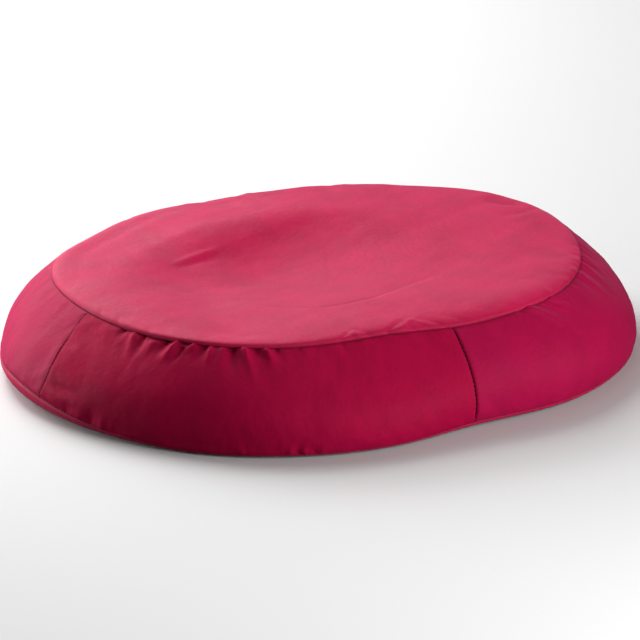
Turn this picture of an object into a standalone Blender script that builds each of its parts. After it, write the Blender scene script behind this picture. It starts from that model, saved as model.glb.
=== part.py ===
"""Ring cushion in a sewn, fitted cover.

A low oval seat cushion.  The cover is cut from five cloth pieces: a top panel,
a side band joined from two lengths, and a base panel that wraps up under the
band.  Inside them lies the filled body, which has the crown round the ring,
the shallow dip over its closed hole, and sides that lean in to the top seam.

Axes: +X along the cushion, +Y to its rear, +Z up.  The origin is under the
middle of the outer size, on the surface that the cushion rests on.  Metres.
"""
import bpy
import bmesh
import numpy as np
from collections import namedtuple
from math import pi, radians

# ---------------------------------------------------------------- sizes

LENGTH = 0.457          # overall, along X
WIDTH = 0.381           # overall, along Y
CLOTH = 0.0012          # thickness of the cover cloth
GAP = 0.0004            # space between the cover and the filled body
SEAM_EASE = 0.00035     # how far each panel's edge stops short of its seam line

FRONT_SEAM = radians(-81.4)    # upright seam right of the middle of the front
END_SEAM = radians(-173.5)     # upright seam round the left end
FRONT_COLUMNS = 6              # cage columns in the front length of the band
LONG_COLUMNS = 18              # cage columns in the long length of the band

# The three outlines that the cover is sewn or stood on.  squareness is 2 for an
# ellipse and more for a squarer one.  rise_x and rise_y tip the line up towards
# +X and +Y.
Outline = namedtuple("Outline", "half_length half_width squareness height rise_x rise_y")
OUTLINES = {
    "top_seam":  Outline(0.1890, 0.1496, 2.37, 0.0680, 0.0011, 0.0029),
    "base_seam": Outline(0.2286, 0.1897, 2.14, 0.0107, -0.0003, 0.0031),
}

# How far the hand-sewn outlines wander from a true oval: waves round the rim.
Wave = namedtuple("Wave", "outline turns cos_part sin_part")
WAVES = [
    Wave("top_seam", 3, 0.0002, 0.0018),
    Wave("top_seam", 4, 0.0005, 0.0013),
    Wave("top_seam", 5, 0.0008, 0.0018),
    Wave("base_seam", 3, 0.0016, -0.0004),
    Wave("base_seam", 4, -0.0012, -0.0018),
    Wave("base_seam", 5, -0.0003, 0.0010),
]

# Bulge of the side: the handles of the curve from the top seam to the base seam.
# mean is the size all round, and the others vary it with the way the side faces.
Handle = namedtuple("Handle", "mean east north ends diagonal")
HANDLES = {
    "top_out":   Handle(0.0240, -0.0017, 0.0015, 0.0008, -0.0015),
    "top_drop":  Handle(0.0189, -0.0027, 0.0008, 0.0007, 0.0000),
    "base_out":  Handle(0.0021, 0.0062, -0.0016, -0.0014, 0.0038),
    "base_lift": Handle(0.0257, -0.0031, 0.0007, -0.0007, 0.0006),
    "foot_in":   Handle(0.0200, 0.0011, -0.0016, 0.0000, 0.0000),
}
SIDE_STATIONS = (0.22, 0.50, 0.78)      # places down the side that shape it

# The top, from just inside the seam to the middle.  reach is a share of the
# seam's outline, lift is above the seam, and slide_y moves the ring frontwards.
TopRing = namedtuple("TopRing", "name reach lift slide_y")
TOP_RINGS = [
    TopRing("rim",       0.955, 0.0030, 0.0000),
    TopRing("crown",     0.840, 0.0062, 0.0000),
    TopRing("brow",      0.690, 0.0046, -0.0010),
    TopRing("slope",     0.520, -0.0040, -0.0040),
    TopRing("dip_edge",  0.340, -0.0115, -0.0060),
    TopRing("dip",       0.150, -0.0140, -0.0060),
]
MIDDLE_LIFT = -0.0146
CROWN_EAST = -0.0016    # the crown is lower at the right end
CROWN_NORTH = 0.0016    # and higher at the rear

# The underside, from the middle out to the foot, as shares of the foot's outline.
BASE_REACH = (0.38, 0.74)

# name: colour (linear), roughness, metallic
FINISH = {
    "cushion_body":    ((0.420, 0.045, 0.100), 0.90, 0.0),
    "top_panel":       ((0.530, 0.045, 0.115), 0.72, 0.0),
    "side_band_front": ((0.330, 0.012, 0.050), 0.70, 0.0),
    "side_band_long":  ((0.420, 0.020, 0.070), 0.70, 0.0),
    "base_panel":      ((0.260, 0.010, 0.040), 0.78, 0.0),
}
BASE, FRONT, LONG, TOP = range(4)       # groups of faces on the outer form


# ---------------------------------------------------------------- form

def angles():
    """Cage columns, spaced so that both upright seams fall on one."""
    front = np.linspace(END_SEAM, FRONT_SEAM, FRONT_COLUMNS, endpoint=False)
    rest = np.linspace(FRONT_SEAM, END_SEAM + 2 * pi, LONG_COLUMNS, endpoint=False)
    return np.concatenate([front, rest])


def outline(name, angle):
    """Points of a seam line, one for each angle."""
    size = OUTLINES[name]
    c, s = np.cos(angle), np.sin(angle)
    radius = (np.abs(c / size.half_length) ** size.squareness
              + np.abs(s / size.half_width) ** size.squareness) ** (-1 / size.squareness)
    for wave in WAVES:
        if wave.outline == name:
            radius = (radius + wave.cos_part * np.cos(wave.turns * angle)
                      + wave.sin_part * np.sin(wave.turns * angle))
    height = size.height + size.rise_x * c + size.rise_y * s
    return np.stack([radius * c, radius * s, height], axis=-1)


def outward(angle):
    """Level directions square to the side."""
    size = OUTLINES["base_seam"]
    line = outline("base_seam", angle)
    n = size.squareness - 1
    east = np.sign(line[:, 0]) * np.abs(line[:, 0] / size.half_length) ** n / size.half_length
    north = np.sign(line[:, 1]) * np.abs(line[:, 1] / size.half_width) ** n / size.half_width
    way = np.stack([east, north, np.zeros_like(east)], axis=-1)
    return way / np.linalg.norm(way, axis=-1, keepdims=True)


def handle(name, angle):
    """Length of one handle of the side's curve, for each angle."""
    h = HANDLES[name]
    return (h.mean + h.east * np.cos(angle) + h.north * np.sin(angle)
            + h.ends * np.cos(2 * angle) + h.diagonal * np.sin(2 * angle))[:, None]


def side(angle, t):
    """The side at t, from 0 on the top seam to 1 on the base seam."""
    up = np.array([0.0, 0.0, 1.0])
    top, base, out = outline("top_seam", angle), outline("base_seam", angle), outward(angle)
    a = top + out * handle("top_out", angle) - up * handle("top_drop", angle)
    b = base + out * handle("base_out", angle) + up * handle("base_lift", angle)
    return ((1 - t) ** 3 * top + 3 * (1 - t) ** 2 * t * a
            + 3 * (1 - t) * t ** 2 * b + t ** 3 * base)


def underside(angle):
    """Rings from inside the foot out to just under the base seam."""
    base = outline("base_seam", angle)
    foot = base - outward(angle) * handle("foot_in", angle)
    foot[:, 2] = 0
    heel = 0.45 * foot + 0.55 * base
    heel[:, 2] = 0
    cheek = base + 0.0005 * outward(angle)
    cheek[:, 2] = 0.36 * base[:, 2]
    return [foot * share for share in BASE_REACH] + [foot, heel, cheek]


def top_side(angle):
    """Rings from just inside the top seam to the dip."""
    rings = []
    for ring in TOP_RINGS:
        line = outline("top_seam", angle) * [ring.reach, ring.reach, 1]
        line[:, 1] += ring.slide_y
        swell = min(1.0, (1 - ring.reach) / 0.15) * max(0.0, (ring.reach - 0.3) / 0.7)
        line[:, 2] += (ring.lift + swell * (CROWN_EAST * np.cos(angle)
                                            + CROWN_NORTH * np.sin(angle)))
        if ring.lift < 0:                       # the dip itself lies level
            line[:, 2] += ((1 - ring.reach) *
                           (OUTLINES["top_seam"].height - outline("top_seam", angle)[:, 2]))
        rings.append(line)
    return rings


def set_out(rings, first, last):
    """Move points out by as much as the subdivided surface rounds inside them."""
    cage = [r.copy() for r in rings]
    for i in range(first, last + 1):
        cage[i] += (2 * rings[i] - rings[i - 1] - rings[i + 1]) / 6
    return [r + (2 * r - np.roll(r, 1, axis=0) - np.roll(r, -1, axis=0)) / 6 for r in cage]


def make_cage():
    """The cushion's outer form: a coarse loft of rings, with its seams creased."""
    angle = angles()
    under = underside(angle)
    down = [side(angle, t) for t in reversed(SIDE_STATIONS)]
    over = top_side(angle)
    base_seam = len(under)
    top_seam = base_seam + 1 + len(down)
    rings = under + [outline("base_seam", angle)] + down + [outline("top_seam", angle)] + over
    sides = set_out(rings, base_seam + 1, top_seam - 1)
    tops = set_out(rings, top_seam + 1, len(rings) - 2)
    rings = sides[:top_seam + 1] + tops[top_seam + 1:]

    bm = bmesh.new()
    crease = bm.edges.layers.float.new("crease_edge")
    grid = [[bm.verts.new(p) for p in ring] for ring in rings]
    count = len(angle)
    for low in range(len(grid) - 1):
        for i in range(count):
            j = (i + 1) % count
            face = bm.faces.new((grid[low][i], grid[low][j], grid[low + 1][j], grid[low + 1][i]))
            if low < base_seam:
                face.material_index = BASE
            elif low >= top_seam:
                face.material_index = TOP
            else:
                face.material_index = FRONT if i < FRONT_COLUMNS else LONG
    middle_low = bm.verts.new((0, 0, 0))
    dip = np.mean(rings[-1], axis=0)
    middle_high = bm.verts.new((dip[0], dip[1], OUTLINES["top_seam"].height + MIDDLE_LIFT))
    for i in range(count):
        j = (i + 1) % count
        bm.faces.new((grid[0][j], grid[0][i], middle_low)).material_index = BASE
        bm.faces.new((grid[-1][i], grid[-1][j], middle_high)).material_index = TOP
    for seam in (base_seam, top_seam):
        for i in range(count):
            bm.edges.get((grid[seam][i], grid[seam][(i + 1) % count]))[crease] = 1.0
    mesh = bpy.data.meshes.new("outer_form")
    bm.to_mesh(mesh)
    bm.free()
    return mesh


def outer_form():
    """The cage subdivided once, at its finished size and centred over the origin."""
    cage = bpy.data.objects.new("outer_form", make_cage())
    bpy.context.scene.collection.objects.link(cage)
    smooth = cage.modifiers.new("Subdivision", "SUBSURF")
    smooth.levels = smooth.render_levels = 1
    bpy.context.view_layer.update()
    mesh = bpy.data.meshes.new_from_object(cage.evaluated_get(bpy.context.evaluated_depsgraph_get()))
    bpy.data.objects.remove(cage, do_unlink=True)
    points = np.array([v.co[:] for v in mesh.vertices])
    low, high = points.min(axis=0), points.max(axis=0)
    grow = (LENGTH / (high[0] - low[0]), WIDTH / (high[1] - low[1]))
    for v in mesh.vertices:
        v.co.x = (v.co.x - (low[0] + high[0]) / 2) * grow[0]
        v.co.y = (v.co.y - (low[1] + high[1]) / 2) * grow[1]
        if abs(v.co.z) < 1e-6:
            v.co.z = 0.0
    return mesh


# ---------------------------------------------------------------- pieces

def ease_edges(bm, amount):
    """Draw a panel's cut edges back from its seam lines."""
    moves = []
    for v in bm.verts:
        if not v.is_boundary:
            continue
        inner = [e for e in v.link_edges if not e.is_boundary]
        ways = [e.other_vert(v).co - v.co for e in (inner or v.link_edges)]
        step = sum((w.normalized() for w in ways[1:]), ways[0].normalized())
        moves.append((v, step.normalized() * amount if inner else step * amount))
    for v, step in moves:
        v.co += step


def finish(mesh, name):
    colour, roughness, metallic = FINISH[name]
    mat = bpy.data.materials.new(name)
    mat.use_nodes = True
    shader = mat.node_tree.nodes["Principled BSDF"]
    shader.inputs["Base Color"].default_value = (*colour, 1.0)
    shader.inputs["Roughness"].default_value = roughness
    shader.inputs["Metallic"].default_value = metallic
    mat.diffuse_color = (*colour, 1.0)
    mesh.materials.clear()
    mesh.materials.append(mat)


def add_panel(name, form, group, collection):
    """One cloth piece: its part of the outer form, thickened inwards."""
    bm = bmesh.new()
    bm.from_mesh(form)
    others = [f for f in bm.faces if f.material_index != group]
    bmesh.ops.delete(bm, geom=others, context="FACES")
    ease_edges(bm, SEAM_EASE)
    for f in bm.faces:
        f.material_index = 0
        f.smooth = True
    mesh = bpy.data.meshes.new(name)
    bm.to_mesh(mesh)
    bm.free()
    finish(mesh, name)
    panel = bpy.data.objects.new(name, mesh)
    collection.objects.link(panel)
    shell = panel.modifiers.new("Cloth", "SOLIDIFY")
    shell.thickness = CLOTH
    shell.offset = -1
    shell.use_even_offset = True
    mesh.set_sharp_from_angle(angle=radians(50))
    return panel


def add_body(name, form, collection):
    """The filled body, inside the cover by the cloth and a small gap."""
    mesh = form.copy()
    mesh.name = name
    mesh.shade_smooth()
    finish(mesh, name)
    for polygon in mesh.polygons:
        polygon.material_index = 0
    body = bpy.data.objects.new(name, mesh)
    collection.objects.link(body)
    inside = body.modifiers.new("Inside the cover", "DISPLACE")
    inside.direction = "NORMAL"
    inside.mid_level = 0
    inside.strength = -(CLOTH + GAP)
    return body


def main():
    for thing in list(bpy.data.objects):
        bpy.data.objects.remove(thing, do_unlink=True)
    collection = bpy.data.collections.new("ring_cushion")
    bpy.context.scene.collection.children.link(collection)
    form = outer_form()
    add_body("cushion_body", form, collection)
    add_panel("top_panel", form, TOP, collection)
    add_panel("side_band_front", form, FRONT, collection)
    add_panel("side_band_long", form, LONG, collection)
    add_panel("base_panel", form, BASE, collection)
    bpy.data.meshes.remove(form)


main()
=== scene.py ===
"""Looks of the ring cushion: sewn cloth pieces over a filled body, on a pale floor in soft studio light."""
import bpy
import bmesh
import numpy as np
from collections import namedtuple
from math import cos, pi, radians, sin
from mathutils import Matrix, Vector
from mathutils.bvhtree import BVHTree


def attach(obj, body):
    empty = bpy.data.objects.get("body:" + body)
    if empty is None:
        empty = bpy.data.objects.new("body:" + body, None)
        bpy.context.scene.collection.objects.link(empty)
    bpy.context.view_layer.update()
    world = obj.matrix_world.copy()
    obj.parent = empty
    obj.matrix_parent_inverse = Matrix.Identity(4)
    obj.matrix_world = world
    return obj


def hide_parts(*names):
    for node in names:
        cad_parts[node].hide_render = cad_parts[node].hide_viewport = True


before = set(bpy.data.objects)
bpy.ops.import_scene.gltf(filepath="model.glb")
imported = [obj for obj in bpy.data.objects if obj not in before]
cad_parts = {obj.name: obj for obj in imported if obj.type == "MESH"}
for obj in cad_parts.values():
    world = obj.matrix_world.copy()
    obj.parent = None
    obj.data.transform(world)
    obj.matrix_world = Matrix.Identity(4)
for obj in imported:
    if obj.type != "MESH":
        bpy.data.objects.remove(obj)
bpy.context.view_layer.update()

MM = 0.001
CLOTH = 0.9                                        # thickness of the shown cloth, mm
END_SEAM, FRONT_SEAM = radians(-173.5), radians(-81.4)
FRONT_COLUMNS, LONG_COLUMNS = 230, 538

# ------------------------------------------------------------------ form (mm)
# The frame's outlines and side curve, in millimetres, with the finer shape of the sewn cover.
OUTLINES = {   # half length, half width, squareness, height, rise x, rise y
    "top": (188.98, 149.64, 2.368, 67.95, 1.15, 2.87),
    "base": (228.64, 189.73, 2.140, 10.69, -0.28, 3.11),
}
WAVES = {      # (turns, cos part, sin part)
    "top": [(3, 0.16, 1.78), (4, 0.45, 1.31), (5, 0.80, 1.77), (6, 1.15, -0.29)],
    "base": [(3, 1.58, -0.44), (4, -1.17, -1.82), (5, -0.30, 1.05), (6, 0.19, 0.93)],
}
SHIFT = {"top": (0.90, -0.56), "base": (-1.59, -0.06)}
HANDLES = {    # mean, cos, sin, cos 2, sin 2
    "top_out": (24.00, -1.69, 1.49, 0.80, -1.47),
    "top_drop": (18.92, -2.66, 0.76, 0.65, 0.00),
    "base_out": (2.13, 6.18, -1.59, -1.44, 3.81),
    "base_lift": (25.73, -3.14, 0.66, -0.74, 0.62),
    "foot_in": (20.06, 1.12, -1.62, -0.01, 0.01),
}
# Where hand sewing pulls an outline in or lets it out: line, place in degrees, spread, out, lift.
Nudge = namedtuple("Nudge", "line at spread out lift")
NUDGES = [
    Nudge("top", -180, 9, 1.1, 0.7), Nudge("top", -160, 9, -1.1, -0.9), Nudge("top", -140, 9, 0.6, 0.2),
    Nudge("top", -120, 9, -0.3, -0.1), Nudge("top", -100, 9, -0.6, 1.0), Nudge("top", -80, 9, -0.4, -1.1),
    Nudge("top", -60, 9, 0.2, 1.1), Nudge("top", -40, 9, 0.3, -0.2), Nudge("top", -20, 9, -0.2, -2.1),
    Nudge("top", 0, 9, -0.6, 0.3), Nudge("top", 20, 9, -2.0, 0.4), Nudge("top", 40, 9, -3.1, -0.8),
    Nudge("top", 60, 9, -0.8, 0.0), Nudge("top", 80, 9, -2.1, 0.5), Nudge("top", 100, 9, -0.8, -1.0),
    Nudge("top", 120, 9, 1.5, -0.2), Nudge("top", 140, 9, -0.6, -2.5), Nudge("top", 160, 9, 0.9, 1.1),
    Nudge("base", -180, 9, 3.4, 5.8), Nudge("base", -140, 9, -1.6, -3.5), Nudge("base", -120, 9, -2.0, -1.8),
    Nudge("base", -100, 9, 0.1, -1.5), Nudge("base", -80, 9, -1.6, 0.9), Nudge("base", -60, 9, 1.7, 0.3),
    Nudge("base", -40, 9, -0.6, 0.4), Nudge("base", -20, 9, 0.3, -0.6), Nudge("base", 0, 9, 1.7, 1.1),
]
UP = np.array([0.0, 0.0, 1.0])


def wavy(row, a):
    return row[0] + row[1] * np.cos(a) + row[2] * np.sin(a) + row[3] * np.cos(2 * a) + row[4] * np.sin(2 * a)


def near(a, at, spread):
    """A soft bump of height 1 at the angle `at`, both in degrees but a."""
    gap = (np.degrees(a) - at + 180) % 360 - 180
    return np.exp(-0.5 * (gap / spread) ** 2)


def hidden(a):
    """1 along the front and right, where the base seam lies low and out of sight, and 0 elsewhere."""
    d = (np.degrees(a) + 180) % 360 - 180
    return smooth((d + 169) / 14) * smooth((28 - d) / 22)


def line(name, a):
    hl, hw, n, z, rx, ry = OUTLINES[name]
    c, s = np.cos(a), np.sin(a)
    r = (np.abs(c / hl) ** n + np.abs(s / hw) ** n) ** (-1 / n)
    for k, ck, sk in WAVES[name]:
        r = r + ck * np.cos(k * a) + sk * np.sin(k * a)
    h = z + rx * c + ry * s
    for q in NUDGES:
        if q.line == name:
            g = near(a, q.at, q.spread)
            r, h = r + q.out * g, h + q.lift * g
    if name == "base":
        r, h = r - 1.8 * hidden(a), h - 2.4 * hidden(a)
    return np.stack([r * c + SHIFT[name][0], r * s + SHIFT[name][1], h], -1), r


def outward(a):
    hl, hw, n = OUTLINES["base"][:3]
    p, r = line("base", a)
    c, s = np.cos(a), np.sin(a)
    e = np.sign(c) * np.abs(r * c / hl) ** (n - 1) / hl
    f = np.sign(s) * np.abs(r * s / hw) ** (n - 1) / hw
    w = np.stack([e, f, 0 * e], -1)
    return w / np.linalg.norm(w, axis=-1, keepdims=True)


def side(a, t):
    """a, t arrays of the same shape: the side, t 0 at the top seam and 1 at the base seam."""
    T, B, N = line("top", a)[0], line("base", a)[0], outward(a)
    P = T + N * wavy(HANDLES["top_out"], a)[..., None] - UP * wavy(HANDLES["top_drop"], a)[..., None]
    Q = (B + N * (wavy(HANDLES["base_out"], a) + 1.6 * hidden(a))[..., None]
         + UP * (wavy(HANDLES["base_lift"], a) + 1.6 * hidden(a))[..., None])
    t = t[..., None]
    return (1 - t) ** 3 * T + 3 * (1 - t) ** 2 * t * P + 3 * (1 - t) * t ** 2 * Q + t ** 3 * B


def under(a, t):
    """From the base seam, t 0, to the foot, t 1."""
    B, N = line("base", a)[0], outward(a)
    F = B - N * wavy(HANDLES["foot_in"], a)[..., None]
    F[..., 2] = 0
    P = B + N * 0.5
    P[..., 2] = B[..., 2] * 0.35
    Q = 0.45 * F + 0.55 * B
    Q[..., 2] = 0
    t = t[..., None]
    return (1 - t) ** 3 * B + 3 * (1 - t) ** 2 * t * P + 3 * (1 - t) * t ** 2 * Q + t ** 3 * F


def smooth(x):
    x = np.clip(x, 0, 1)
    return x * x * (3 - 2 * x)


# The dip over the ring's hole: an oval turned a little, deepest towards the rear.
DIP = dict(centre=(-14.6, -19.0), size=(150.4, 112.6), turn=-1.8, low=(-25.1, 35.9), depth=15.9)


def dip(x, y):
    """Share of the dip's depth at x, y: 1 at its lowest point and 0 from its brow outwards."""
    c, s = cos(radians(DIP["turn"])), sin(radians(DIP["turn"]))
    def local(px, py):
        px, py = px - DIP["centre"][0], py - DIP["centre"][1]
        return (c * px + s * py) / DIP["size"][0], (-s * px + c * py) / DIP["size"][1]
    X, Y = local(x, y)
    ox, oy = DIP["low"][0] / DIP["size"][0], DIP["low"][1] / DIP["size"][1]
    k = np.clip(1 - X * X - Y * Y, 0, 1)
    e = np.clip(np.hypot(X - ox * k, Y - oy * k), 0, 1)
    return 0.5 * (1 - smooth(e)) + 0.5 * (1 - e ** 2) ** 2


def lip(a):
    """Rise of the top's rolled edge and the distance that it takes."""
    front_right = near(a, -55, 26) + near(a, -5, 24)
    front_right = np.clip(front_right, 0, 1)
    left = np.clip(near(a, 178, 40) + near(a, -150, 24), 0, 1)
    rise = 2.6 + 2.2 * front_right - 1.4 * left
    reach = 2.2 + 3.6 * front_right
    return rise, reach


# Where the top stands higher or lower than its even crown and dip: x, y, half sizes, turn and height, mm.
Swell = namedtuple("Swell", "x y long short turn height")
SWELLS = [
    Swell(-112, -67, 82, 14, 84, -2.2), Swell(-82, -78, 32, 56, -62, -2.6),
    Swell(33, -54, 71, 40, -3, -3.4), Swell(10, 20, 61, 34, 77, 1.0),
    Swell(-131, 88, 62, 49, -8, -3.6), Swell(169, 14, 44, 73, 92, -2.0),
    Swell(-18, 127, 68, 15, -3, -1.4), Swell(49, -154, 27, 68, -89, 1.0),
]


def swells(x, y):
    total = np.zeros_like(x)
    for w in SWELLS:
        c, s = cos(radians(w.turn)), sin(radians(w.turn))
        u, v = c * (x - w.x) + s * (y - w.y), -s * (x - w.x) + c * (y - w.y)
        total += w.height * np.exp(-0.5 * ((u / w.long) ** 2 + (v / w.short) ** 2))
    return total


def top(a, s):
    """The top, s 1 at the seam and 0 in the middle."""
    T, r = line("top", a)
    cx, cy = SHIFT["top"]
    x, y = cx + (T[..., 0] - cx) * s, cy + (T[..., 1] - cy) * s
    z0, rx, ry = OUTLINES["top"][3:]
    tilt = rx * np.cos(a) + ry * np.sin(a)
    z = z0 + tilt * s + (T[..., 2] - z0 - tilt) * s ** 3
    d = (1 - s) * r                                  # distance in from the seam
    crown = 4.9 + (1.55 * np.sin(a) - 1.86 * np.cos(a)) * s
    rise, reach = lip(a)
    rise = 2.6 + (rise - 2.6) * (1 - smooth((d - 16) / 80))
    z = z + rise * (1 - np.exp(-d / reach)) + (crown - 2.6) * np.sin(np.clip(d / 30.0, 0, 1) * pi / 2)
    z = z - DIP["depth"] * dip(x, y) + swells(x, y) * smooth(d / 22.0)
    return np.stack([x, y, z], -1)


# ------------------------------------------------------------------ grids
def wrap(a):
    return (a + pi) % (2 * pi) - pi


def columns_between(low, high, count):
    """Columns from one upright seam to the next, closer together at the seams and where the cloth puckers."""
    a = np.linspace(low, high, 4000)
    density = (1 + 3.5 * np.exp(-np.abs(a - low) * 225 / 4) + 3.5 * np.exp(-np.abs(a - high) * 225 / 4)
               + 0.7 * near(a, -146, 14) + 0.4 * near(a, -118, 12) + 0.8 * near(a, -35, 18))
    total = np.concatenate([[0], np.cumsum((density[1:] + density[:-1]) / 2)])
    return np.interp(np.linspace(0, total[-1], count + 1), total, a)[:-1]


def graded(n, fine, low=0.0, high=1.0, both=True):
    """n + 1 values from low to high, closer together at both ends, or at low only."""
    u = np.linspace(0, 1, n + 1)
    g = u - fine * np.sin(2 * pi * u) / (2 * pi) if both else (1 - fine) * u + fine * u ** 2
    return low + (high - low) * g


def spaced(stops):
    """Values from the first stop to the last, each stop a value and the spacing wanted there."""
    at, step = np.array(stops).T
    x = np.linspace(at[0], at[-1], 4000)
    count = np.concatenate([[0], np.cumsum(np.diff(x) / np.interp(x[1:], at, step))])
    return np.interp(np.linspace(0, count[-1], int(round(count[-1])) + 1), count, x)


COLUMNS = np.concatenate([columns_between(END_SEAM, FRONT_SEAM, FRONT_COLUMNS),
                          columns_between(FRONT_SEAM, END_SEAM + 2 * pi, LONG_COLUMNS)])
A0, T = np.meshgrid(COLUMNS, graded(52, 0.74))
# the end seam bows towards the front on its way down
bow = (17.1 * T + 12.7 * T ** 2 + -24.8 * T ** 3) * np.exp(-(wrap(A0 - END_SEAM) * 210 / 26) ** 2)
A = A0 + bow / 210
SIDE = side(A, T)
AT, S = np.meshgrid(COLUMNS, 1 - spaced([(0.0, 0.0031), (0.08, 0.008), (0.15, 0.0125), (0.20, 0.010), (0.235, 0.0072),
                                         (0.56, 0.0072), (0.62, 0.020), (0.965, 0.045)]))
TOP = top(AT, S)
AU, U = np.meshgrid(COLUMNS, graded(12, 0.55))
UNDER = under(AU, U)
N = outward(COLUMNS)[None]

ALL = np.concatenate([SIDE.reshape(-1, 3), UNDER.reshape(-1, 3)])
CENTRE = (ALL.min(0) + ALL.max(0)) / 2 * [1, 1, 0]      # the frame is centred on its own box


def along_rows(grid):
    """Distance down each column from its first row, mm."""
    step = np.linalg.norm(np.diff(grid, axis=0), axis=-1)
    return np.concatenate([np.zeros((1, grid.shape[1])), np.cumsum(step, axis=0)])


def normals(grid, inward=False):
    """Unit normals of a grid whose columns close into a ring."""
    across = np.roll(grid, -1, axis=1) - np.roll(grid, 1, axis=1)
    n = np.cross(across, np.gradient(grid, axis=0))
    n /= np.linalg.norm(n, axis=-1, keepdims=True) + 1e-12
    return n


SIDE_N = normals(SIDE)
if (SIDE_N * N).sum(-1).mean() < 0:
    SIDE_N = -SIDE_N
TOP_N = normals(TOP)
if TOP_N[..., 2].mean() < 0:
    TOP_N = -TOP_N
V = along_rows(SIDE)                       # mm down from the top seam
W = V[-1][None] - V                        # mm up from the base seam
D = along_rows(TOP)                        # mm in from the top seam
RADIUS = np.linalg.norm(SIDE[..., :2], axis=-1)


def across(at, grid=A, radius=RADIUS):
    """mm along the rim from the place `at`, in degrees."""
    return wrap(grid - radians(at)) * radius


# ------------------------------------------------------------------ creases and puckers
# Puckers that hang from the top seam: place in degrees, lean (mm along per mm down), start and length down
# the side, width and height in mm (a trough is negative).
Pucker = namedtuple("Pucker", "at lean start length width height")
SIDE_PUCKERS = [
    Pucker(-161.5, 0.10, 0.0, 11.0, 2.8, -1.9), Pucker(-158.6, 0.25, 0.5, 24.0, 3.1, 1.5),
    Pucker(-156.2, 0.20, 0.0, 19.0, 2.2, -1.7), Pucker(-153.0, -0.10, 3.0, 17.0, 4.0, 1.5),
    Pucker(-150.4, -0.05, 0.0, 15.0, 2.4, -2.5), Pucker(-147.6, -0.38, 0.0, 21.0, 2.6, 2.9),
    Pucker(-145.8, -0.30, 4.0, 17.0, 2.1, -2.0), Pucker(-143.8, -0.50, 0.0, 9.0, 2.6, 2.2),
    Pucker(-141.8, -0.10, 1.0, 16.0, 2.9, -2.0), Pucker(-140.2, 0.00, 0.5, 18.0, 1.5, 1.5),
    Pucker(-137.9, 0.05, 0.5, 26.0, 2.6, 1.0), Pucker(-135.9, 0.15, 0.0, 25.0, 3.6, -2.7),
    Pucker(-133.4, 0.42, 0.0, 30.0, 2.8, 2.5), Pucker(-130.9, 0.35, 0.0, 12.0, 2.6, -1.9),
    Pucker(-128.8, 0.45, 0.5, 17.0, 2.4, 2.2), Pucker(-126.6, 0.30, 0.0, 12.0, 2.2, -1.4),
    Pucker(-122.0, 0.60, 0.5, 9.0, 2.0, -0.7), Pucker(-117.5, 0.10, 1.0, 18.0, 4.5, -0.5),
    Pucker(-113.6, 0.25, 2.0, 24.0, 4.5, 0.8), Pucker(-111.6, 0.20, 1.0, 15.0, 2.4, -0.8),
    Pucker(-106.5, 0.10, 1.0, 18.0, 4.0, 0.5), Pucker(-104.4, 0.10, 1.0, 15.0, 3.0, -0.4),
    Pucker(-60.0, 0.95, 0.0, 34.0, 4.1, 2.2), Pucker(-56.4, 1.05, 0.0, 30.0, 3.1, -1.8),
    Pucker(-62.6, 0.90, 0.0, 14.0, 2.7, -1.1), Pucker(-51.8, 0.95, 0.0, 17.0, 2.7, 2.0),
    Pucker(-50.0, 0.95, 0.0, 15.0, 2.0, -1.4), Pucker(-53.8, 0.90, 0.0, 11.0, 2.0, -1.4),
    Pucker(-39.5, 0.50, 0.0, 9.0, 2.2, -1.0), Pucker(-35.0, 0.20, 0.0, 26.0, 3.0, -0.8),
    Pucker(-32.0, 0.05, 0.0, 34.0, 3.2, 1.0), Pucker(-28.5, -0.05, 0.0, 32.0, 2.8, -1.0),
    Pucker(-25.6, -0.15, 0.0, 36.0, 2.8, 1.1), Pucker(-22.8, -0.15, 0.0, 28.0, 2.4, -0.8),
    Pucker(-20.0, -0.20, 0.0, 30.0, 2.6, 0.9), Pucker(-16.5, -0.20, 0.0, 24.0, 2.8, -0.8),
    Pucker(-12.0, -0.25, 0.0, 22.0, 3.4, 0.8), Pucker(-7.0, -0.20, 0.0, 18.0, 3.2, -0.7),
    Pucker(4.0, 0.20, 0.0, 20.0, 4.0, 0.7), Pucker(9.0, 0.20, 0.0, 16.0, 3.0, -0.8),
    Pucker(27.0, -0.20, 0.0, 22.0, 4.0, 0.8), Pucker(31.0, -0.20, 0.0, 18.0, 3.0, -0.9),
    Pucker(52.0, 0.30, 0.0, 20.0, 3.6, -0.9), Pucker(56.0, 0.30, 0.0, 24.0, 4.0, 0.9),
    Pucker(78.0, 0.10, 0.0, 16.0, 3.2, -0.9), Pucker(83.0, 0.15, 0.0, 22.0, 3.8, 0.8),
    Pucker(101.0, -0.20, 0.0, 20.0, 3.6, -0.9), Pucker(104.0, -0.20, 0.0, 24.0, 3.6, 1.0),
    Pucker(122.0, -0.30, 0.0, 18.0, 3.4, 0.8), Pucker(126.0, -0.30, 0.0, 15.0, 3.0, -0.8),
    Pucker(148.0, 0.20, 0.0, 16.0, 4.0, 0.6), Pucker(168.0, 0.10, 0.0, 14.0, 4.0, -0.4),
]
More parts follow.
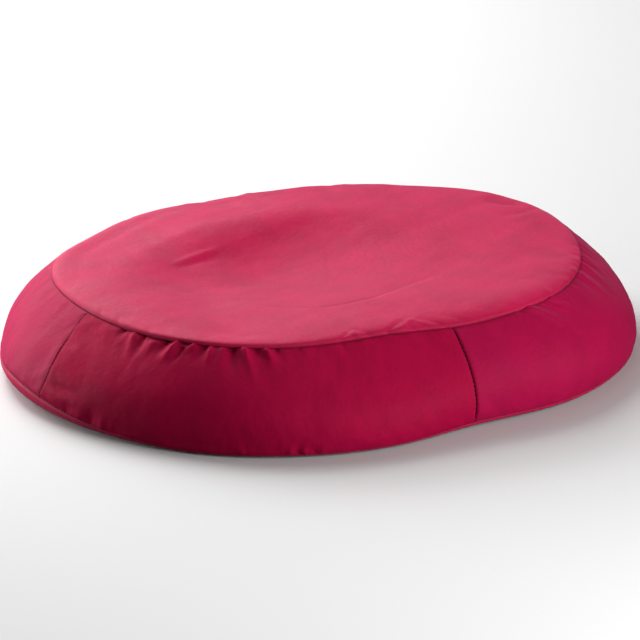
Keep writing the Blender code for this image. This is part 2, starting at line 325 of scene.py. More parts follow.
# The same from the base seam upwards.
BASE_PUCKERS = [
    Pucker(-165.0, 0.3, 0.0, 13.0, 3.4, -0.7), Pucker(-162.0, 0.3, 0.0, 20.0, 4.0, 0.9),
    Pucker(-159.4, 0.2, 0.0, 15.0, 3.0, -0.8), Pucker(-157.0, 0.2, 0.0, 17.0, 3.4, 0.8),
    Pucker(-154.0, 0.1, 0.0, 12.0, 3.2, -0.6), Pucker(-130.0, 0.0, 0.0, 9.0, 3.2, 0.5),
    Pucker(-121.4, 0.2, 0.0, 11.0, 1.9, 0.9), Pucker(-120.0, 0.1, 0.0, 10.0, 1.7, -0.8),
    Pucker(-118.5, -0.1, 0.0, 11.0, 1.9, 0.9), Pucker(-116.8, 0.0, 0.0, 9.0, 1.8, -0.8),
    Pucker(-115.4, 0.1, 0.0, 9.0, 1.9, 0.7), Pucker(-84.0, -0.2, 0.0, 10.0, 3.0, -0.5),
    Pucker(-77.0, 0.2, 0.0, 12.0, 3.6, 0.6), Pucker(-40.0, 0.1, 0.0, 9.0, 4.0, 0.4),
    Pucker(20.0, 0.2, 0.0, 12.0, 3.4, 0.7), Pucker(60.0, -0.2, 0.0, 13.0, 3.2, -0.7),
    Pucker(64.0, -0.2, 0.0, 14.0, 3.4, 0.8), Pucker(110.0, 0.1, 0.0, 13.0, 3.2, 0.7),
    Pucker(150.0, 0.1, 0.0, 10.0, 3.2, -0.6),
]
# Puckers on the top panel, from the seam inwards.
TOP_PUCKERS = [
    Pucker(-168.5, -1.2, 0.0, 13.0, 2.0, -0.45), Pucker(-163.0, -1.0, 0.0, 11.0, 2.2, -0.45),
    Pucker(-155.0, -0.3, 0.0, 12.0, 3.0, -0.35), Pucker(-112.0, 0.9, 0.5, 14.0, 3.0, -0.6),
    Pucker(-106.6, -0.9, 0.0, 13.0, 2.4, 0.9), Pucker(-104.0, -0.8, 0.0, 14.0, 2.6, -0.9),
    Pucker(-100.0, 1.4, 0.0, 20.0, 3.4, -0.9), Pucker(-96.5, 1.3, 1.0, 20.0, 3.0, 0.7),
    Pucker(-92.0, -0.5, 0.0, 15.0, 3.0, -0.6), Pucker(-86.0, -1.4, 0.0, 17.0, 2.6, 0.8),
    Pucker(-83.0, -1.2, 0.0, 16.0, 2.6, -0.8), Pucker(-77.0, -1.0, 1.0, 24.0, 4.2, -0.5),
    Pucker(-70.0, -0.9, 0.0, 22.0, 4.0, 0.5), Pucker(-62.0, -0.8, 0.0, 16.0, 3.6, -0.4),
    Pucker(-51.0, 0.2, 0.0, 9.0, 2.4, 1.0), Pucker(-48.4, 0.3, 0.0, 10.0, 2.2, -0.8),
    Pucker(-41.0, 0.1, 0.0, 10.0, 2.8, 0.7), Pucker(-38.0, 0.1, 0.0, 10.0, 2.4, -0.7),
    Pucker(-33.5, 0.0, 0.0, 11.0, 2.6, 0.7), Pucker(-30.5, 0.0, 0.0, 12.0, 2.6, -0.7),
    Pucker(-26.0, 0.0, 0.0, 13.0, 2.6, 0.6), Pucker(-23.0, 0.0, 0.0, 12.0, 2.6, -0.6),
    Pucker(-17.0, 0.1, 0.0, 13.0, 3.0, -0.5), Pucker(58.0, 0.3, 0.0, 12.0, 3.6, 0.5),
    Pucker(62.0, 0.3, 0.0, 12.0, 3.0, -0.7), Pucker(88.0, -0.2, 0.0, 14.0, 3.2, 0.8),
    Pucker(92.0, -0.2, 0.0, 12.0, 2.8, -0.7), Pucker(101.0, 0.2, 0.0, 14.0, 3.0, -0.6),
    Pucker(106.0, 0.2, 0.0, 14.0, 3.4, 0.6), Pucker(124.0, 0.2, 0.0, 14.0, 3.4, -0.5),
]
# Creases that cross the top: three points in mm, width and height, and how far one side stands over the other.
Crease = namedtuple("Crease", "start bend end width height step")
TOP_CREASES = [
    Crease((-99, 41), (-76, 51), (-50, 60), 2.8, 1.1, 0.3),         # the pulled fold at the left of the dip
    Crease((-94, 37), (-76, 44), (-56, 50), 3.0, -0.6, 0.0),
    Crease((-80, 46), (-14, 67), (56, 70), 9.0, 0.0, 1.6),          # the dip's steep rear slope
    Crease((-80, -28), (-72, -58), (-44, -80), 2.6, -0.8, -0.4),    # the brow at the front of the dip
    Crease((-58, -75), (-22, -85), (22, -73), 2.8, -0.9, -0.5),
    Crease((8, -78), (34, -69), (66, -58), 4.0, -0.5, -0.4),
    Crease((156, 51), (169, 41), (180, 33), 4.0, -1.1, -0.8),       # folds by the rear of the right end
    Crease((154, 17), (171, 18), (190, 23), 3.6, -1.0, -0.7),
    Crease((148, 66), (160, 62), (172, 58), 4.0, 0.7, 0.0),
    Crease((-60, 100), (-30, 112), (10, 108), 6.0, 0.4, 0.3),
]
# Folds that run along the side: place in degrees, mm down, half length along, rise along, width, height.
Fold = namedtuple("Fold", "at down reach slope width height")
SIDE_FOLDS = [
    Fold(-166.5, 55.5, 24.0, -0.04, 3.0, -1.0), Fold(-165.5, 61.5, 22.0, -0.03, 4.0, 0.8),
    Fold(-170.5, 26.0, 9.0, 0.00, 2.4, -0.8), Fold(-168.0, 14.5, 12.0, 0.10, 2.6, -0.5),
    Fold(-96.0, 40.0, 34.0, 0.04, 9.0, -0.35), Fold(-70.0, 52.0, 30.0, -0.05, 8.0, 0.4),
    Fold(-48.0, 38.0, 30.0, 0.10, 8.0, -0.4), Fold(60.0, 44.0, 30.0, 0.06, 7.0, -0.5),
    Fold(120.0, 40.0, 34.0, -0.05, 8.0, 0.5), Fold(170.0, 46.0, 26.0, 0.05, 8.0, -0.4),
]


def pucker_field(rows, along, down, length):
    """Heights of a table of puckers. along(at) gives mm along the rim and down the mm from the seam."""
    total = np.zeros_like(down)
    for p in rows:
        v = down - p.start
        w = p.width * (0.7 + 0.7 * np.clip(v / p.length, 0, 1))
        f = np.exp(-((along(p.at) - p.lean * down) / w) ** 2)
        f = f * smooth(v / 1.6 + 0.35) * (1 - smooth(v / p.length)) * (v > -1)
        total += p.height * f
    return total


def crease_field(rows, x, y):
    total = np.zeros_like(x)
    for c in rows:
        q = np.linspace(0, 1, 28)[:, None]
        a, b, e = (np.array(p, float) for p in (c.start, c.bend, c.end))
        path = (1 - q) ** 2 * a + 2 * q * (1 - q) * (2 * b - (a + e) / 2) + q ** 2 * e
        best = np.full(x.shape, 1e9)
        where = np.zeros_like(x)
        hand = np.zeros_like(x)
        for i in range(len(path) - 1):
            p0, d = path[i], path[i + 1] - path[i]
            t = np.clip(((x - p0[0]) * d[0] + (y - p0[1]) * d[1]) / (d @ d), 0, 1)
            ex, ey = x - p0[0] - t * d[0], y - p0[1] - t * d[1]
            dist = np.hypot(ex, ey)
            take = dist < best
            best = np.where(take, dist, best)
            where = np.where(take, (i + t) / (len(path) - 1), where)
            hand = np.where(take, np.sign(d[0] * ey - d[1] * ex), hand)
        taper = np.sin(np.clip(where, 0.0, 1.0) * pi) ** 0.7
        w = c.width
        total += taper * (c.height * np.exp(-(best / w) ** 2)
                          + c.step * hand * (best / w) * np.exp(-best / (2.2 * w)))
    return total


def fold_field(rows):
    total = np.zeros_like(V)
    for f in rows:
        u = across(f.at)
        total += (f.height * np.exp(-((V - f.down - f.slope * u) / f.width) ** 2)
                  * (1 - smooth(np.abs(u) / f.reach)))
    return total


def ripple(x, y, seed, count, low, high, height):
    """A gentle, uneven surface: waves in many directions, low to high mm long."""
    rng = np.random.default_rng(seed)
    total = np.zeros_like(x)
    for _ in range(count):
        length = np.exp(rng.uniform(np.log(low), np.log(high)))
        way, phase = rng.uniform(0, 2 * pi, 2)
        size = (length / high) ** 0.8
        total += size * np.cos(2 * pi * (x * cos(way) + y * sin(way)) / length + phase)
    return total * height / np.sqrt(count / 2)


# ------------------------------------------------------------------ settling the cover
def run_cloth(obj, pins, pressure, slack, frames, bending=0.5):
    """Blow the cloth up a little and return its points, mm."""
    scene = bpy.context.scene
    if pins is not None:
        group = obj.vertex_groups.new(name="pins")
        for weight in np.unique(pins[pins > 0]):
            group.add([int(v) for v in np.nonzero(pins == weight)[0]], float(weight), "REPLACE")
    m = obj.modifiers.new("Settle", "CLOTH")
    c = m.settings
    c.quality, c.mass, c.air_damping = 6, 0.25, 2.0
    c.tension_stiffness, c.compression_stiffness, c.shear_stiffness, c.bending_stiffness = 22, 22, 8, bending
    c.use_pressure, c.uniform_pressure_force = True, pressure
    c.shrink_min = c.shrink_max = -slack
    c.effector_weights.gravity = 0
    if pins is not None:
        c.vertex_group_mass = "pins"
    m.collision_settings.use_collision = False
    m.point_cache.frame_start, m.point_cache.frame_end = 1, frames
    for f in range(1, frames + 1):
        scene.frame_set(f)
    done = obj.evaluated_get(bpy.context.evaluated_depsgraph_get()).to_mesh()
    out = np.empty(len(done.vertices) * 3, dtype=np.float32)
    done.vertices.foreach_get("co", out)
    obj.to_mesh_clear()
    obj.modifiers.remove(m)
    scene.frame_set(1)
    return out.reshape(-1, 3).astype(float) / MM


def pick_rows(distance, gaps):
    """Rows whose mean distance from the seam is nearest to each of the wanted ones."""
    mean = distance.mean(1)
    return sorted({int(np.argmin(np.abs(mean - g))) for g in gaps})


def settle_cover():
    """Small folds of the cover, mm along the normals of the side and of the top, from a cloth simulation."""
    cols = np.arange(0, len(COLUMNS), 3)
    side_rows = pick_rows(V, list(np.arange(0, V[-1].mean(), 4.6)) + [V[-1].mean()])
    top_rows = pick_rows(D, [3.5, 7.5, 12, 17, 22.5, 28, 34, 41, 49, 58, 70, 84])
    grid = np.concatenate([TOP[top_rows[::-1]][:, cols], SIDE[side_rows][:, cols]])
    nrm = np.concatenate([TOP_N[top_rows[::-1]][:, cols], SIDE_N[side_rows][:, cols]])
    rows, n = grid.shape[:2]
    seam = len(top_rows)
    pins = np.zeros((rows, n))
    pins[[0, seam, rows - 1]] = 1
    for at in (END_SEAM, FRONT_SEAM):
        pins[seam:, np.argmin(np.abs(wrap(COLUMNS[cols] - at)))] = 1
    i, j = np.arange(rows - 1)[:, None] * n, np.arange(n)[None]
    k = (j + 1) % n
    faces = np.stack([i + j, i + n + j, i + n + k, i + k], -1).reshape(-1, 4)
    mesh = bpy.data.meshes.new("settling")
    mesh.from_pydata([tuple(v) for v in (grid * MM).reshape(-1, 3)], [], [tuple(f) for f in faces])
    obj = bpy.data.objects.new("settling", mesh)
    bpy.context.scene.collection.objects.link(obj)
    out = run_cloth(obj, pins.ravel(), 3.0, 0.022, 18, 0.25).reshape(rows, n, 3)
    bpy.data.objects.remove(obj)
    bulge = ((out - grid) * nrm).sum(-1)
    def high(part, wide):
        """Folds without the broad swelling: each point less the mean of its neighbours."""
        kernel = np.hanning(2 * wide + 3)[1:-1]
        kernel /= kernel.sum()
        pad = np.concatenate([part[:, -wide:], part, part[:, :wide]], 1)
        along = np.stack([np.convolve(r, kernel, "valid") for r in pad])
        return part - along
    parts = []
    for part, low_rows, total in ((bulge[:seam + 1][::-1], [0] + top_rows, len(D)),
                                  (bulge[seam:], side_rows, len(V))):
        fold = np.clip(high(part, 7), -1.6, 1.6)
        fine = np.stack([np.interp(np.arange(total), low_rows, fold[:, q]) for q in range(n)], 1)
        wide = np.concatenate([fine, fine[:, :1]], 1)
        at = np.append(cols, len(COLUMNS))
        parts.append(np.stack([np.interp(np.arange(len(COLUMNS)), at, r) for r in wide]))
    return parts[1], parts[0]


side_fold, top_fold = settle_cover()


# seams: how deep the stitching draws the cloth in
tuck = 0.55 * near(COLUMNS, -151, 7.0)[None]                  # the gap under the top's edge at the left of the front
draw_in = 1.5 + 2.4 * tuck + 0.3 * np.sin(9 * COLUMNS)[None]
draw_down = 0.9 + 0.8 * tuck


def seam_pull(distance, reach):
    f = np.exp(-distance / reach)[..., None]
    return -N * draw_in[..., None] * f - UP * draw_down[..., None] * f


def upright_seam(at, depth, width, swell=0.0, swell_width=14.0):
    """A seam that is drawn in, with the filling a little fuller on both sides of it."""
    u = np.abs(across(at, A0))
    return -depth * np.exp(-u / width) + swell * (1 - np.exp(-u / width)) * np.exp(-(u / swell_width) ** 2)


side_out = pucker_field(SIDE_PUCKERS, across, V, 20) + pucker_field(BASE_PUCKERS, across, W, 12)
side_out += fold_field(SIDE_FOLDS)
side_out += ripple(A * 205, V, 5, 26, 14, 60, 0.22) * smooth(V / 8) * smooth(W / 8)
side_out += side_fold * (0.30 * np.exp(-V / 22) + 0.22 * np.exp(-W / 14) + 0.05)
ends = smooth(V / 7 + 0.1) * smooth(W / 7 + 0.1)
side_out += (upright_seam(-81.4, 1.5, 0.85, 0.3, 9.0) + upright_seam(-173.5, 0.12, 0.5, 0.2, 9.0)) * ends
SIDE = SIDE + SIDE_N * side_out[..., None] + seam_pull(V, 1.1 + 2.6 * tuck)
base_pull = -N * (1.2 - 0.7 * hidden(COLUMNS))[None, :, None]
SIDE = SIDE + base_pull * np.exp(-W / 1.3)[..., None]

along_top = lambda at: across(at, AT, np.linalg.norm(TOP[..., :2], axis=-1))
top_out = pucker_field(TOP_PUCKERS, along_top, D, 14) + crease_field(TOP_CREASES, TOP[..., 0], TOP[..., 1])
top_out += ripple(TOP[..., 0], TOP[..., 1], 11, 30, 16, 80, 0.30) * smooth(D / 10) + top_fold * 0.22 * np.exp(-D / 12)
overhang = 2.4 * tuck * np.exp(-((D - 3.0) / 2.6) ** 2)
TOP = TOP + TOP_N * top_out[..., None] + seam_pull(D, 0.75 + 0.2 * tuck) + N * overhang[..., None]
UNDER = UNDER + base_pull * np.exp(-along_rows(UNDER) / 1.3)[..., None]
UNDER[..., 2] = np.maximum(UNDER[..., 2], 0)
FLAT = UNDER[-1][None] * np.array([0.82, 0.55, 0.25])[:, None, None]
BASE = np.concatenate([UNDER, FLAT])


# Painted shade in the seams, 0 to 1: how much each point's colour is darkened for the shade that falls into the top,
# base and upright seams, with a broader band of it along the top's rim.
SIDE_SEAM_SHADE = np.maximum.reduce([np.exp(-(V / (0.5 + 1.8 * tuck)) ** 2), np.exp(-(W / 0.40) ** 2) * (0.60 - 0.5 * hidden(COLUMNS)[None]),
                               np.exp(-(across(-81.4, A0) / 0.6) ** 2),
                               0.16 * np.exp(-(across(-173.5, A0) / 0.4) ** 2) * (0.1 + 2.2 * smooth((V - 48) / 18))])
TOP_SEAM_SHADE = np.maximum(np.exp(-(D / 0.34) ** 2), 0.22 * np.exp(-(D / 2.6) ** 2) * np.ones_like(D))
BASE_SEAM_SHADE = np.concatenate([np.exp(-(along_rows(UNDER) / 0.40) ** 2) * (0.60 - 0.5 * hidden(COLUMNS)[None]), np.zeros((len(FLAT), len(COLUMNS)))])


# ------------------------------------------------------------------ meshes
def lengths(grid):
    """Places on the laid-out cloth, mm: along the rim, and down from the first row."""
    step = np.linalg.norm(np.diff(grid, axis=1), axis=-1).mean(0)
    along = np.concatenate([[0], np.cumsum(step)])[None] + np.zeros(grid.shape[:2])
    return np.stack([along, along_rows(grid)], -1)


def make_mesh(name, grid, painted_seam_shade, closed, cap=None):
    """A cloth piece from its grid; a closed one runs right round, and cap is the point that its last row meets."""
    # painted shade for the seams, one value per point of the grid
    painted_seam_shade = painted_seam_shade.ravel()
    rows, cols = grid.shape[:2]
    flat = ((grid - CENTRE)[..., :2] if closed else lengths(grid)).reshape(-1, 2)
    verts = ((grid - CENTRE) * MM).reshape(-1, 3)
    i = np.arange(rows - 1)[:, None] * cols
    j = np.arange(cols if closed else cols - 1)[None]
    k = (j + 1) % cols
    faces = [tuple(f) for f in np.stack([i + j, i + cols + j, i + cols + k, i + k], -1).reshape(-1, 4)]
    verts = [tuple(v) for v in verts]
    if cap is not None:
        middle = np.asarray(cap) - CENTRE
        verts.append(tuple(middle * MM))
        flat = np.concatenate([flat, middle[None, :2]])
        painted_seam_shade = np.append(painted_seam_shade, 0.0)
        last = (rows - 1) * cols
        faces += [(last + q, len(verts) - 1, last + (q + 1) % cols) for q in range(cols)]
    mesh = bpy.data.meshes.new(name)
    mesh.from_pydata(verts, [], faces)
    mesh.shade_smooth()
    weave = mesh.uv_layers.new(name="laid_out")              # metres on the cloth
    loop = np.empty(len(mesh.loops), dtype=np.int32)
    mesh.loops.foreach_get("vertex_index", loop)
    weave.data.foreach_set("uv", (flat[loop] * MM).astype(np.float32).ravel())
    # the painted seam shade goes to the material as a point attribute
    mesh.attributes.new("painted_seam_shade", "FLOAT", "POINT").data.foreach_set("value", painted_seam_shade.astype(np.float32))
    obj = bpy.data.objects.new(name, mesh)
    bpy.context.scene.collection.objects.link(obj)
    m = obj.modifiers.new("Cloth", "SOLIDIFY")
    m.thickness = CLOTH * MM
    m.offset = -1
    return obj


F = FRONT_COLUMNS
KEPT = np.concatenate([np.arange(F), np.arange(F, len(COLUMNS), 2)])       # the top is plainer away from the front
top_obj = make_mesh("top_cloth", TOP[:, KEPT], TOP_SEAM_SHADE[:, KEPT], True, cap=TOP[-1].mean(0))
front_obj = make_mesh("front_band_cloth", SIDE[:, :F + 1], SIDE_SEAM_SHADE[:, :F + 1], False)
long_obj = make_mesh("long_band_cloth", np.concatenate([SIDE[:, F:], SIDE[:, :1]], 1),
                     np.concatenate([SIDE_SEAM_SHADE[:, F:], SIDE_SEAM_SHADE[:, :1]], 1), False)
base_obj = make_mesh("base_cloth", BASE, BASE_SEAM_SHADE, True, cap=(CENTRE[0], CENTRE[1], 0))


# ------------------------------------------------------------------ stitches and filling
def stitch_row(path, face, pitch, length, radius, closed, proud=0.0):
    """Short rounded threads along a seam: points and faces. face is the way that the cloth faces there."""
    path = path + face * proud
    if closed:
        path, face = np.concatenate([path, path[:1]]), np.concatenate([face, face[:1]])
    run = np.concatenate([[0], np.cumsum(np.linalg.norm(np.diff(path, axis=0), axis=1))])
    count = int(run[-1] / pitch)
    mid = (np.arange(count) + 0.5) * run[-1] / count
    def at(q, values):
        return np.stack([np.interp(q, run, values[:, c]) for c in range(3)], 1)
    rings, sides = np.array([-0.5, -0.36, 0.0, 0.36, 0.5]), 6
    thick = np.array([0.25, 0.85, 1.0, 0.85, 0.25]) * radius
    verts, faces = [], []
    up = at(mid, face)
    up /= np.linalg.norm(up, axis=1, keepdims=True)
    for q, t in zip(rings, thick):
        centre = at(np.clip(mid + q * length, 0, run[-1]), path)
        ahead = at(np.clip(mid + 0.4, 0, run[-1]), path) - at(np.clip(mid - 0.4, 0, run[-1]), path)
        ahead /= np.linalg.norm(ahead, axis=1, keepdims=True)
        side_way = np.cross(ahead, up)
        side_way /= np.linalg.norm(side_way, axis=1, keepdims=True)
        for e in range(sides):
            w = 2 * pi * e / sides
            verts.append(centre + t * (cos(w) * side_way + sin(w) * up))
    verts = np.stack(verts, 1)                              # stitch, ring and side, xyz
    for r in range(len(rings) - 1):
        for e in range(sides):
            f = (e + 1) % sides
            faces.append((r * sides + e, r * sides + f, (r + 1) * sides + f, (r + 1) * sides + e))
    last = (len(rings) - 1) * sides
    ends = [tuple(range(sides))[::-1], tuple(range(last, last + sides))]
    total = len(rings) * sides
    whole = [tuple(v + k * total for v in f) for k in range(count) for f in faces + ends]
    return verts.reshape(-1, 3), whole


def stitches():
    rim = np.repeat(N[0][None], 1, 0)[0]
    rows = [stitch_row(SIDE[0], rim * 0.9 + UP * 0.45, 3.1, 2.1, 0.24, True, 0.18),
            stitch_row(SIDE[-1], rim * 0.9 - UP * 0.1, 3.1, 2.1, 0.24, True, 0.15),
            stitch_row(SIDE[2:-2, F], SIDE_N[2:-2, F], 3.0, 2.1, 0.26, False, 0.10),
            stitch_row(SIDE[2:-2, 0], SIDE_N[2:-2, 0], 3.0, 1.9, 0.28, False, 0.22)]
    verts, faces, start = [], [], 0
    for v, f in rows:
        verts.append(v)
        faces += [tuple(i + start for i in q) for q in f]
        start += len(v)
    mesh = bpy.data.meshes.new("seam_stitches")
    mesh.from_pydata([tuple(v) for v in (np.concatenate(verts) - CENTRE) * MM], [], faces)
    mesh.shade_smooth()
    obj = bpy.data.objects.new("seam_stitches", mesh)
    bpy.context.scene.collection.objects.link(obj)
    return obj


def baked(obj):
    """obj with its modifiers applied."""
    done = bpy.data.meshes.new_from_object(obj.evaluated_get(bpy.context.evaluated_depsgraph_get()))
    obj.modifiers.clear()
    obj.data = done
    return obj


def filled_body(source):
    """The filling's own cover: the body, remeshed, blown up against its seams, and kept under the sewn cloth."""
    obj = bpy.data.objects.new("cushion_fill", source.data.copy())
    obj.matrix_world = source.matrix_world.copy()
    bpy.context.scene.collection.objects.link(obj)
    start = obj.modifiers.new("Slightly smaller", "DISPLACE")
    start.strength, start.mid_level = -0.004, 0.0
    voxels = obj.modifiers.new("Even mesh", "REMESH")
    voxels.mode, voxels.voxel_size = "VOXEL", 0.006
    baked(obj)
    count = len(obj.data.vertices)
    rest = np.empty(count * 3, dtype=np.float32)
    obj.data.vertices.foreach_get("co", rest)
    rest = rest.reshape(-1, 3).astype(float)
    moved = run_cloth(obj, None, 4.0, 0.0, 20, 0.5) * MM - rest
    far = np.linalg.norm(moved, axis=1, keepdims=True)
    moved *= np.minimum(1, 0.006 / np.maximum(far, 1e-9))
    obj.data.vertices.foreach_set("co", (rest + moved).astype(np.float32).ravel())
    finer = obj.modifiers.new("Finer", "SUBSURF")
    finer.levels = finer.render_levels = 1
    baked(obj)
    # the sewn cloth lies over it everywhere
    verts, faces, ways, start = [], [], [], 0
    for grid, way in ((SIDE, N + 0.5 * UP), (TOP, UP[None, None]), (BASE, 0.5 * N - UP)):
        rows, cols = grid.shape[:2]
        i, j = np.arange(rows - 1)[:, None] * cols, np.arange(cols)[None]
        k = (j + 1) % cols
        faces += [tuple(f) for f in (start + np.stack([i + j, i + cols + j, i + cols + k, i + k], -1)).reshape(-1, 4)]
        ways.append(np.broadcast_to(way, (rows - 1, cols, 3)).reshape(-1, 3))
        verts.append((grid - CENTRE).reshape(-1, 3) * MM)
        start += rows * cols
    ways = np.concatenate(ways)
    tree = BVHTree.FromPolygons([tuple(v) for v in np.concatenate(verts)], faces)
    low = float(BASE[..., 2].min()) * MM
    back = obj.matrix_world.inverted()
    for _ in range(3):
        for v in obj.data.vertices:
            p = obj.matrix_world @ v.co
            hit, normal, face, gap = tree.find_nearest(p)
            if normal.dot(Vector(ways[face])) < 0:
                normal = -normal                                # outwards
            if (hit - p).dot(normal) < 0.0024:
                p = hit - normal * 0.0030
            p.z = max(p.z, low + 0.0022)
            v.co = back @ p
    obj.data.shade_smooth()
    return obj


thread_obj = stitches()
fill_obj = filled_body(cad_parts["cushion_body"])


# ------------------------------------------------------------------ materials
def linear(r, g, b):
    c = np.array([r, g, b]) / 255
    return tuple(np.where(c <= 0.04045, c / 12.92, ((c + 0.055) / 1.055) ** 2.4))


def cloth(name, colour, deep, pale, pitch=0.00068, bump=0.55, seed=0.0, sheen=0.13, tint=(0.62, 0.70, 1.0),
          gloss=0.11, mapped=True):
    """A plain-woven cotton blend: threads both ways, uneven in thickness, with slubs, flecks and slow mottling."""
    m = bpy.data.materials.new(name)
    m.use_nodes = True
    nt = m.node_tree
    p = nt.nodes["Principled BSDF"]
    p.inputs["Roughness"].default_value = 0.62
    p.inputs["Sheen Weight"].default_value = sheen
    p.inputs["Sheen Roughness"].default_value = 0.42
    p.inputs["Sheen Tint"].default_value = (*tint, 1)
    p.inputs["Specular IOR Level"].default_value = gloss
    link, new = nt.links.new, nt.nodes.new

    def node(kind, **values):
        n = new(kind)
        for key, value in values.items():
            setattr(n, key, value)
        return n

    def maths(operation, *inputs):
        n = node("ShaderNodeMath", operation=operation)
        for i, v in enumerate(inputs):
            if isinstance(v, (int, float)):
                n.inputs[i].default_value = v
            else:
                link(v, n.inputs[i])
        return n.outputs[0]

    def noise(vector, scale, detail=2.0, stretch=(1, 1, 1), shift=0.0):
        mp = node("ShaderNodeMapping")
        mp.inputs["Scale"].default_value = stretch
        mp.inputs["Location"].default_value = (shift, 0.37 * shift, 0.11 * shift)
        link(vector, mp.inputs["Vector"])
        n = node("ShaderNodeTexNoise")
        n.inputs["Scale"].default_value = scale
        n.inputs["Detail"].default_value = detail
        link(mp.outputs[0], n.inputs["Vector"])
        return n.outputs["Fac"]

    place = node("ShaderNodeTexCoord").outputs["Object"]
    uv = node("ShaderNodeUVMap", uv_map="laid_out").outputs[0] if mapped else place
    part = node("ShaderNodeSeparateXYZ")
    link(uv, part.inputs[0])
    wobble = maths("MULTIPLY", maths("SUBTRACT", noise(place, 160, 2, shift=seed), 0.5), pitch * 1.6)
    x = maths("ADD", part.outputs[0], wobble)
    y = maths("ADD", part.outputs[1], wobble)
    turn = 2 * pi / pitch
    warp = maths("SINE", maths("MULTIPLY", x, turn))
    weft = maths("SINE", maths("MULTIPLY", y, turn * 0.9))
    over = maths("MULTIPLY", maths("SINE", maths("MULTIPLY", x, turn / 2)), maths("SINE", maths("MULTIPLY", y, turn * 0.45)))
    thread = maths("ADD", maths("MULTIPLY", maths("ADD", warp, weft), 0.28), maths("MULTIPLY", over, 0.45))
    slub_along = noise(uv, 900, 2, (1.0, 0.09, 1), 3 + seed)
    slub_across = noise(uv, 900, 2, (0.09, 1.0, 1), 7 + seed)
    slub = maths("ADD", slub_along, slub_across)
    crumple = maths("ADD", maths("MULTIPLY", noise(place, 110, 2, shift=11 + seed), 0.75),
                    maths("MULTIPLY", noise(place, 310, 2, shift=17 + seed), 0.50))
    height = maths("ADD", maths("MULTIPLY", thread, 0.10),
                   maths("ADD", maths("MULTIPLY", slub, 0.10), maths("MULTIPLY", crumple, 1.15)))
    bumps = node("ShaderNodeBump")
    bumps.inputs["Strength"].default_value = bump
    bumps.inputs["Distance"].default_value = 0.0007
    link(height, bumps.inputs["Height"])
    link(bumps.outputs[0], p.inputs["Normal"])

    # colour: slow mottling, darker between the threads, and a few pale and dark flecks
    mottle = noise(place, 38, 4, shift=5 + seed)
    fleck = noise(uv, 380, 3, (1.0, 0.8, 1), 13 + seed)
    ramp = node("ShaderNodeValToRGB")
    r = ramp.color_ramp
    r.elements[0].position, r.elements[0].color = 0.26, (*deep, 1)
    r.elements[1].position, r.elements[1].color = 0.78, (*pale, 1)
    mid = r.elements.new(0.50)
    mid.color = (*colour, 1)
    tone = maths("ADD", maths("MULTIPLY", mottle, 0.62), maths("MULTIPLY", fleck, 0.30))
    tone = maths("ADD", tone, maths("MULTIPLY", thread, 0.035))
    link(maths("ADD", tone, 0.04), ramp.inputs[0])
    # painted shade: where the painted seam shade is 1 the colour is mixed 80 % of the way to a tenth of the cloth's
    # colour, a dark line for the shade in the seams
    painted_seam_shade = node("ShaderNodeAttribute", attribute_name="painted_seam_shade").outputs["Fac"]
    shade = node("ShaderNodeMix", data_type="RGBA")
    link(maths("MULTIPLY", painted_seam_shade, 0.8), shade.inputs["Factor"])
    link(ramp.outputs[0], shade.inputs[6])
    shade.inputs[7].default_value = (colour[0] * 0.10, colour[1] * 0.10, colour[2] * 0.10, 1)
    link(shade.outputs[2], p.inputs["Base Color"])
    rough = maths("ADD", maths("MULTIPLY", mottle, 0.16), 0.52)
    link(maths("ADD", rough, maths("MULTIPLY", thread, -0.03)), p.inputs["Roughness"])
    return m


def shades(colour, spread):
    c = np.array(colour)
    return tuple(c), tuple(c * (1 - spread)), tuple(c * (1 + spread))


# Painted light and shade in part: the crimson is the cloth's own colour, but the one cloth is given a lighter colour
# on the top and darker ones on the bands and base, standing in for how the lamps fall on each piece.
top_obj.data.materials.append(cloth("top_weave", *shades((0.61, 0.0112, 0.081), 0.20), seed=1.0, sheen=0.10))
front_obj.data.materials.append(cloth("front_band_weave", *shades((0.434, 0.0026, 0.049), 0.15), seed=2.0, sheen=0.03, gloss=0.05))
long_obj.data.materials.append(cloth("long_band_weave", *shades((0.427, 0.0032, 0.059), 0.15), seed=3.0, sheen=0.07, gloss=0.07))
base_obj.data.materials.append(cloth("base_weave", *shades((0.52, 0.0060, 0.062), 0.14), seed=4.0))

thread = bpy.data.materials.new("seam_thread")
thread.use_nodes = True
thread_nodes = thread.node_tree
shader = thread_nodes.nodes["Principled BSDF"]
shader.inputs["Roughness"].default_value = 0.55
shader.inputs["Sheen Weight"].default_value = 0.1
twist = thread_nodes.nodes.new("ShaderNodeTexNoise")
twist.inputs["Scale"].default_value = 900
tones = thread_nodes.nodes.new("ShaderNodeValToRGB")
tones.color_ramp.elements[0].color = (0.050, 0.0006, 0.0055, 1)
tones.color_ramp.elements[1].color = (0.150, 0.0020, 0.0170, 1)
thread_nodes.links.new(twist.outputs["Fac"], tones.inputs[0])
thread_nodes.links.new(tones.outputs[0], shader.inputs["Base Color"])
thread_obj.data.materials.append(thread)
fill_obj.data.materials.clear()
fill_obj.data.materials.append(cloth("inner_weave", *shades((0.36, 0.0040, 0.040), 0.14), seed=5.0, mapped=False))

for obj, node, slot in ((top_obj, "top_panel", "top_cloth"), (front_obj, "side_band_front", "front_band_cloth"),
                        (long_obj, "side_band_long", "long_band_cloth"), (base_obj, "base_panel", "base_cloth"),
                        (fill_obj, "cushion_body", "filled_body")):
    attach(obj, "root")
    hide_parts(node)
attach(thread_obj, "root")

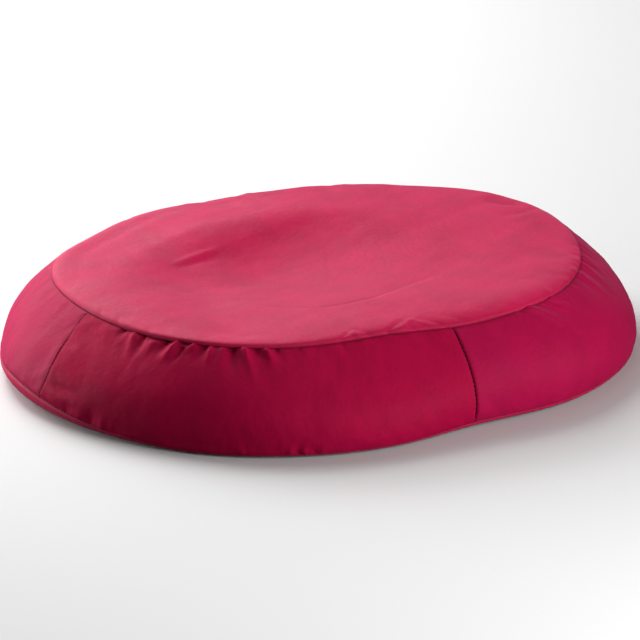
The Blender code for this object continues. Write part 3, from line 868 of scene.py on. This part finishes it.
# ------------------------------------------------------------------ stage, light, camera
bpy.ops.mesh.primitive_plane_add(size=12)
floor = bpy.context.object
floor.name = "floor"
fm = bpy.data.materials.new("floor")
fm.use_nodes = True
fm.node_tree.nodes["Principled BSDF"].inputs["Base Color"].default_value = (0.86, 0.86, 0.86, 1)
fm.node_tree.nodes["Principled BSDF"].inputs["Roughness"].default_value = 0.9
floor.data.materials.append(fm)
floor.visible_diffuse = False                        # the cushion isn't lit from below
floor.visible_glossy = False

world = bpy.data.worlds.new("studio")
bpy.context.scene.world = world
world.use_nodes = True
world.node_tree.nodes["Background"].inputs["Color"].default_value = (1, 1, 1, 1)
world.node_tree.nodes["Background"].inputs["Strength"].default_value = 0.0


def softbox(name, place, aim, size, power, colour=(1, 1, 1)):
    data = bpy.data.lights.new(name, "AREA")
    data.shape = "RECTANGLE"
    data.size, data.size_y = size
    data.energy = power
    data.color = colour
    obj = bpy.data.objects.new(name, data)
    bpy.context.scene.collection.objects.link(obj)
    obj.location = place
    obj.rotation_euler = (Vector(aim) - Vector(place)).to_track_quat("-Z", "Y").to_euler()
    return obj


# direction round from +X and height above the floor, in degrees, width and height in metres, watts and distance
LIGHTS = {
    "rear_left": (120, 22, (1.1, 1.1), 26.4, 2.3), "rear": (90, 42, (1.1, 1.1), 25.9, 2.3),
    "right_low": (315, 7, (1.1, 0.5), 24.2, 2.3), "rear_low": (90, 22, (1.1, 1.1), 15.1, 2.3),
    "rear_right_high": (60, 64, (1.1, 1.1), 3.9, 2.3), "left_strip": (150, 3, (0.5, 0.12), 3.6, 0.8),
    "near_left_high": (120, 55, (0.4, 0.4), 2.55, 1.0), "front_right_strip": (285, 8, (0.3, 0.2), 1.7, 0.9),
    "front_right_near": (272, 26, (0.3, 0.2), 1.5, 0.9),
}
for name, (round_, up, size, power, away) in LIGHTS.items():
    way = Vector((cos(radians(round_)) * cos(radians(up)), sin(radians(round_)) * cos(radians(up)), sin(radians(up))))
    softbox(name, way * away + Vector((0, 0, 0.04)), (0, 0, 0.04), size, power)

AZ, EL, AWAY, FOCAL = -0.4500, 0.3460, 2200.0, 3104.4      # radians, mm, pixels at 640 wide
AXIS_PX = (322.392, 302.940)                              # where the aim point falls
back = np.array([sin(AZ) * cos(EL), -cos(AZ) * cos(EL), sin(EL)])
right = np.array([cos(AZ), sin(AZ), 0.0])
upw = np.cross(back, right)
aim = np.array([0, 0, 36.0]) - CENTRE
place = aim + back * AWAY
look = aim - right * (AXIS_PX[0] - 320) * AWAY / FOCAL + upw * (AXIS_PX[1] - 320) * AWAY / FOCAL
cam_data = bpy.data.cameras.new("camera")
cam = bpy.data.objects.new("camera", cam_data)
bpy.context.scene.collection.objects.link(cam)
cam_data.sensor_width = 36
cam_data.lens = FOCAL / 640 * 36
z = Vector(place - look).normalized()
x = Vector(right)
x = (x - z * x.dot(z)).normalized()
y = z.cross(x)
cam.matrix_world = Matrix(((x.x, y.x, z.x, place[0] * MM), (x.y, y.y, z.y, place[1] * MM),
                           (x.z, y.z, z.z, place[2] * MM), (0, 0, 0, 1)))
bpy.context.scene.camera = cam
bpy.context.scene.view_settings.view_transform = "Standard"
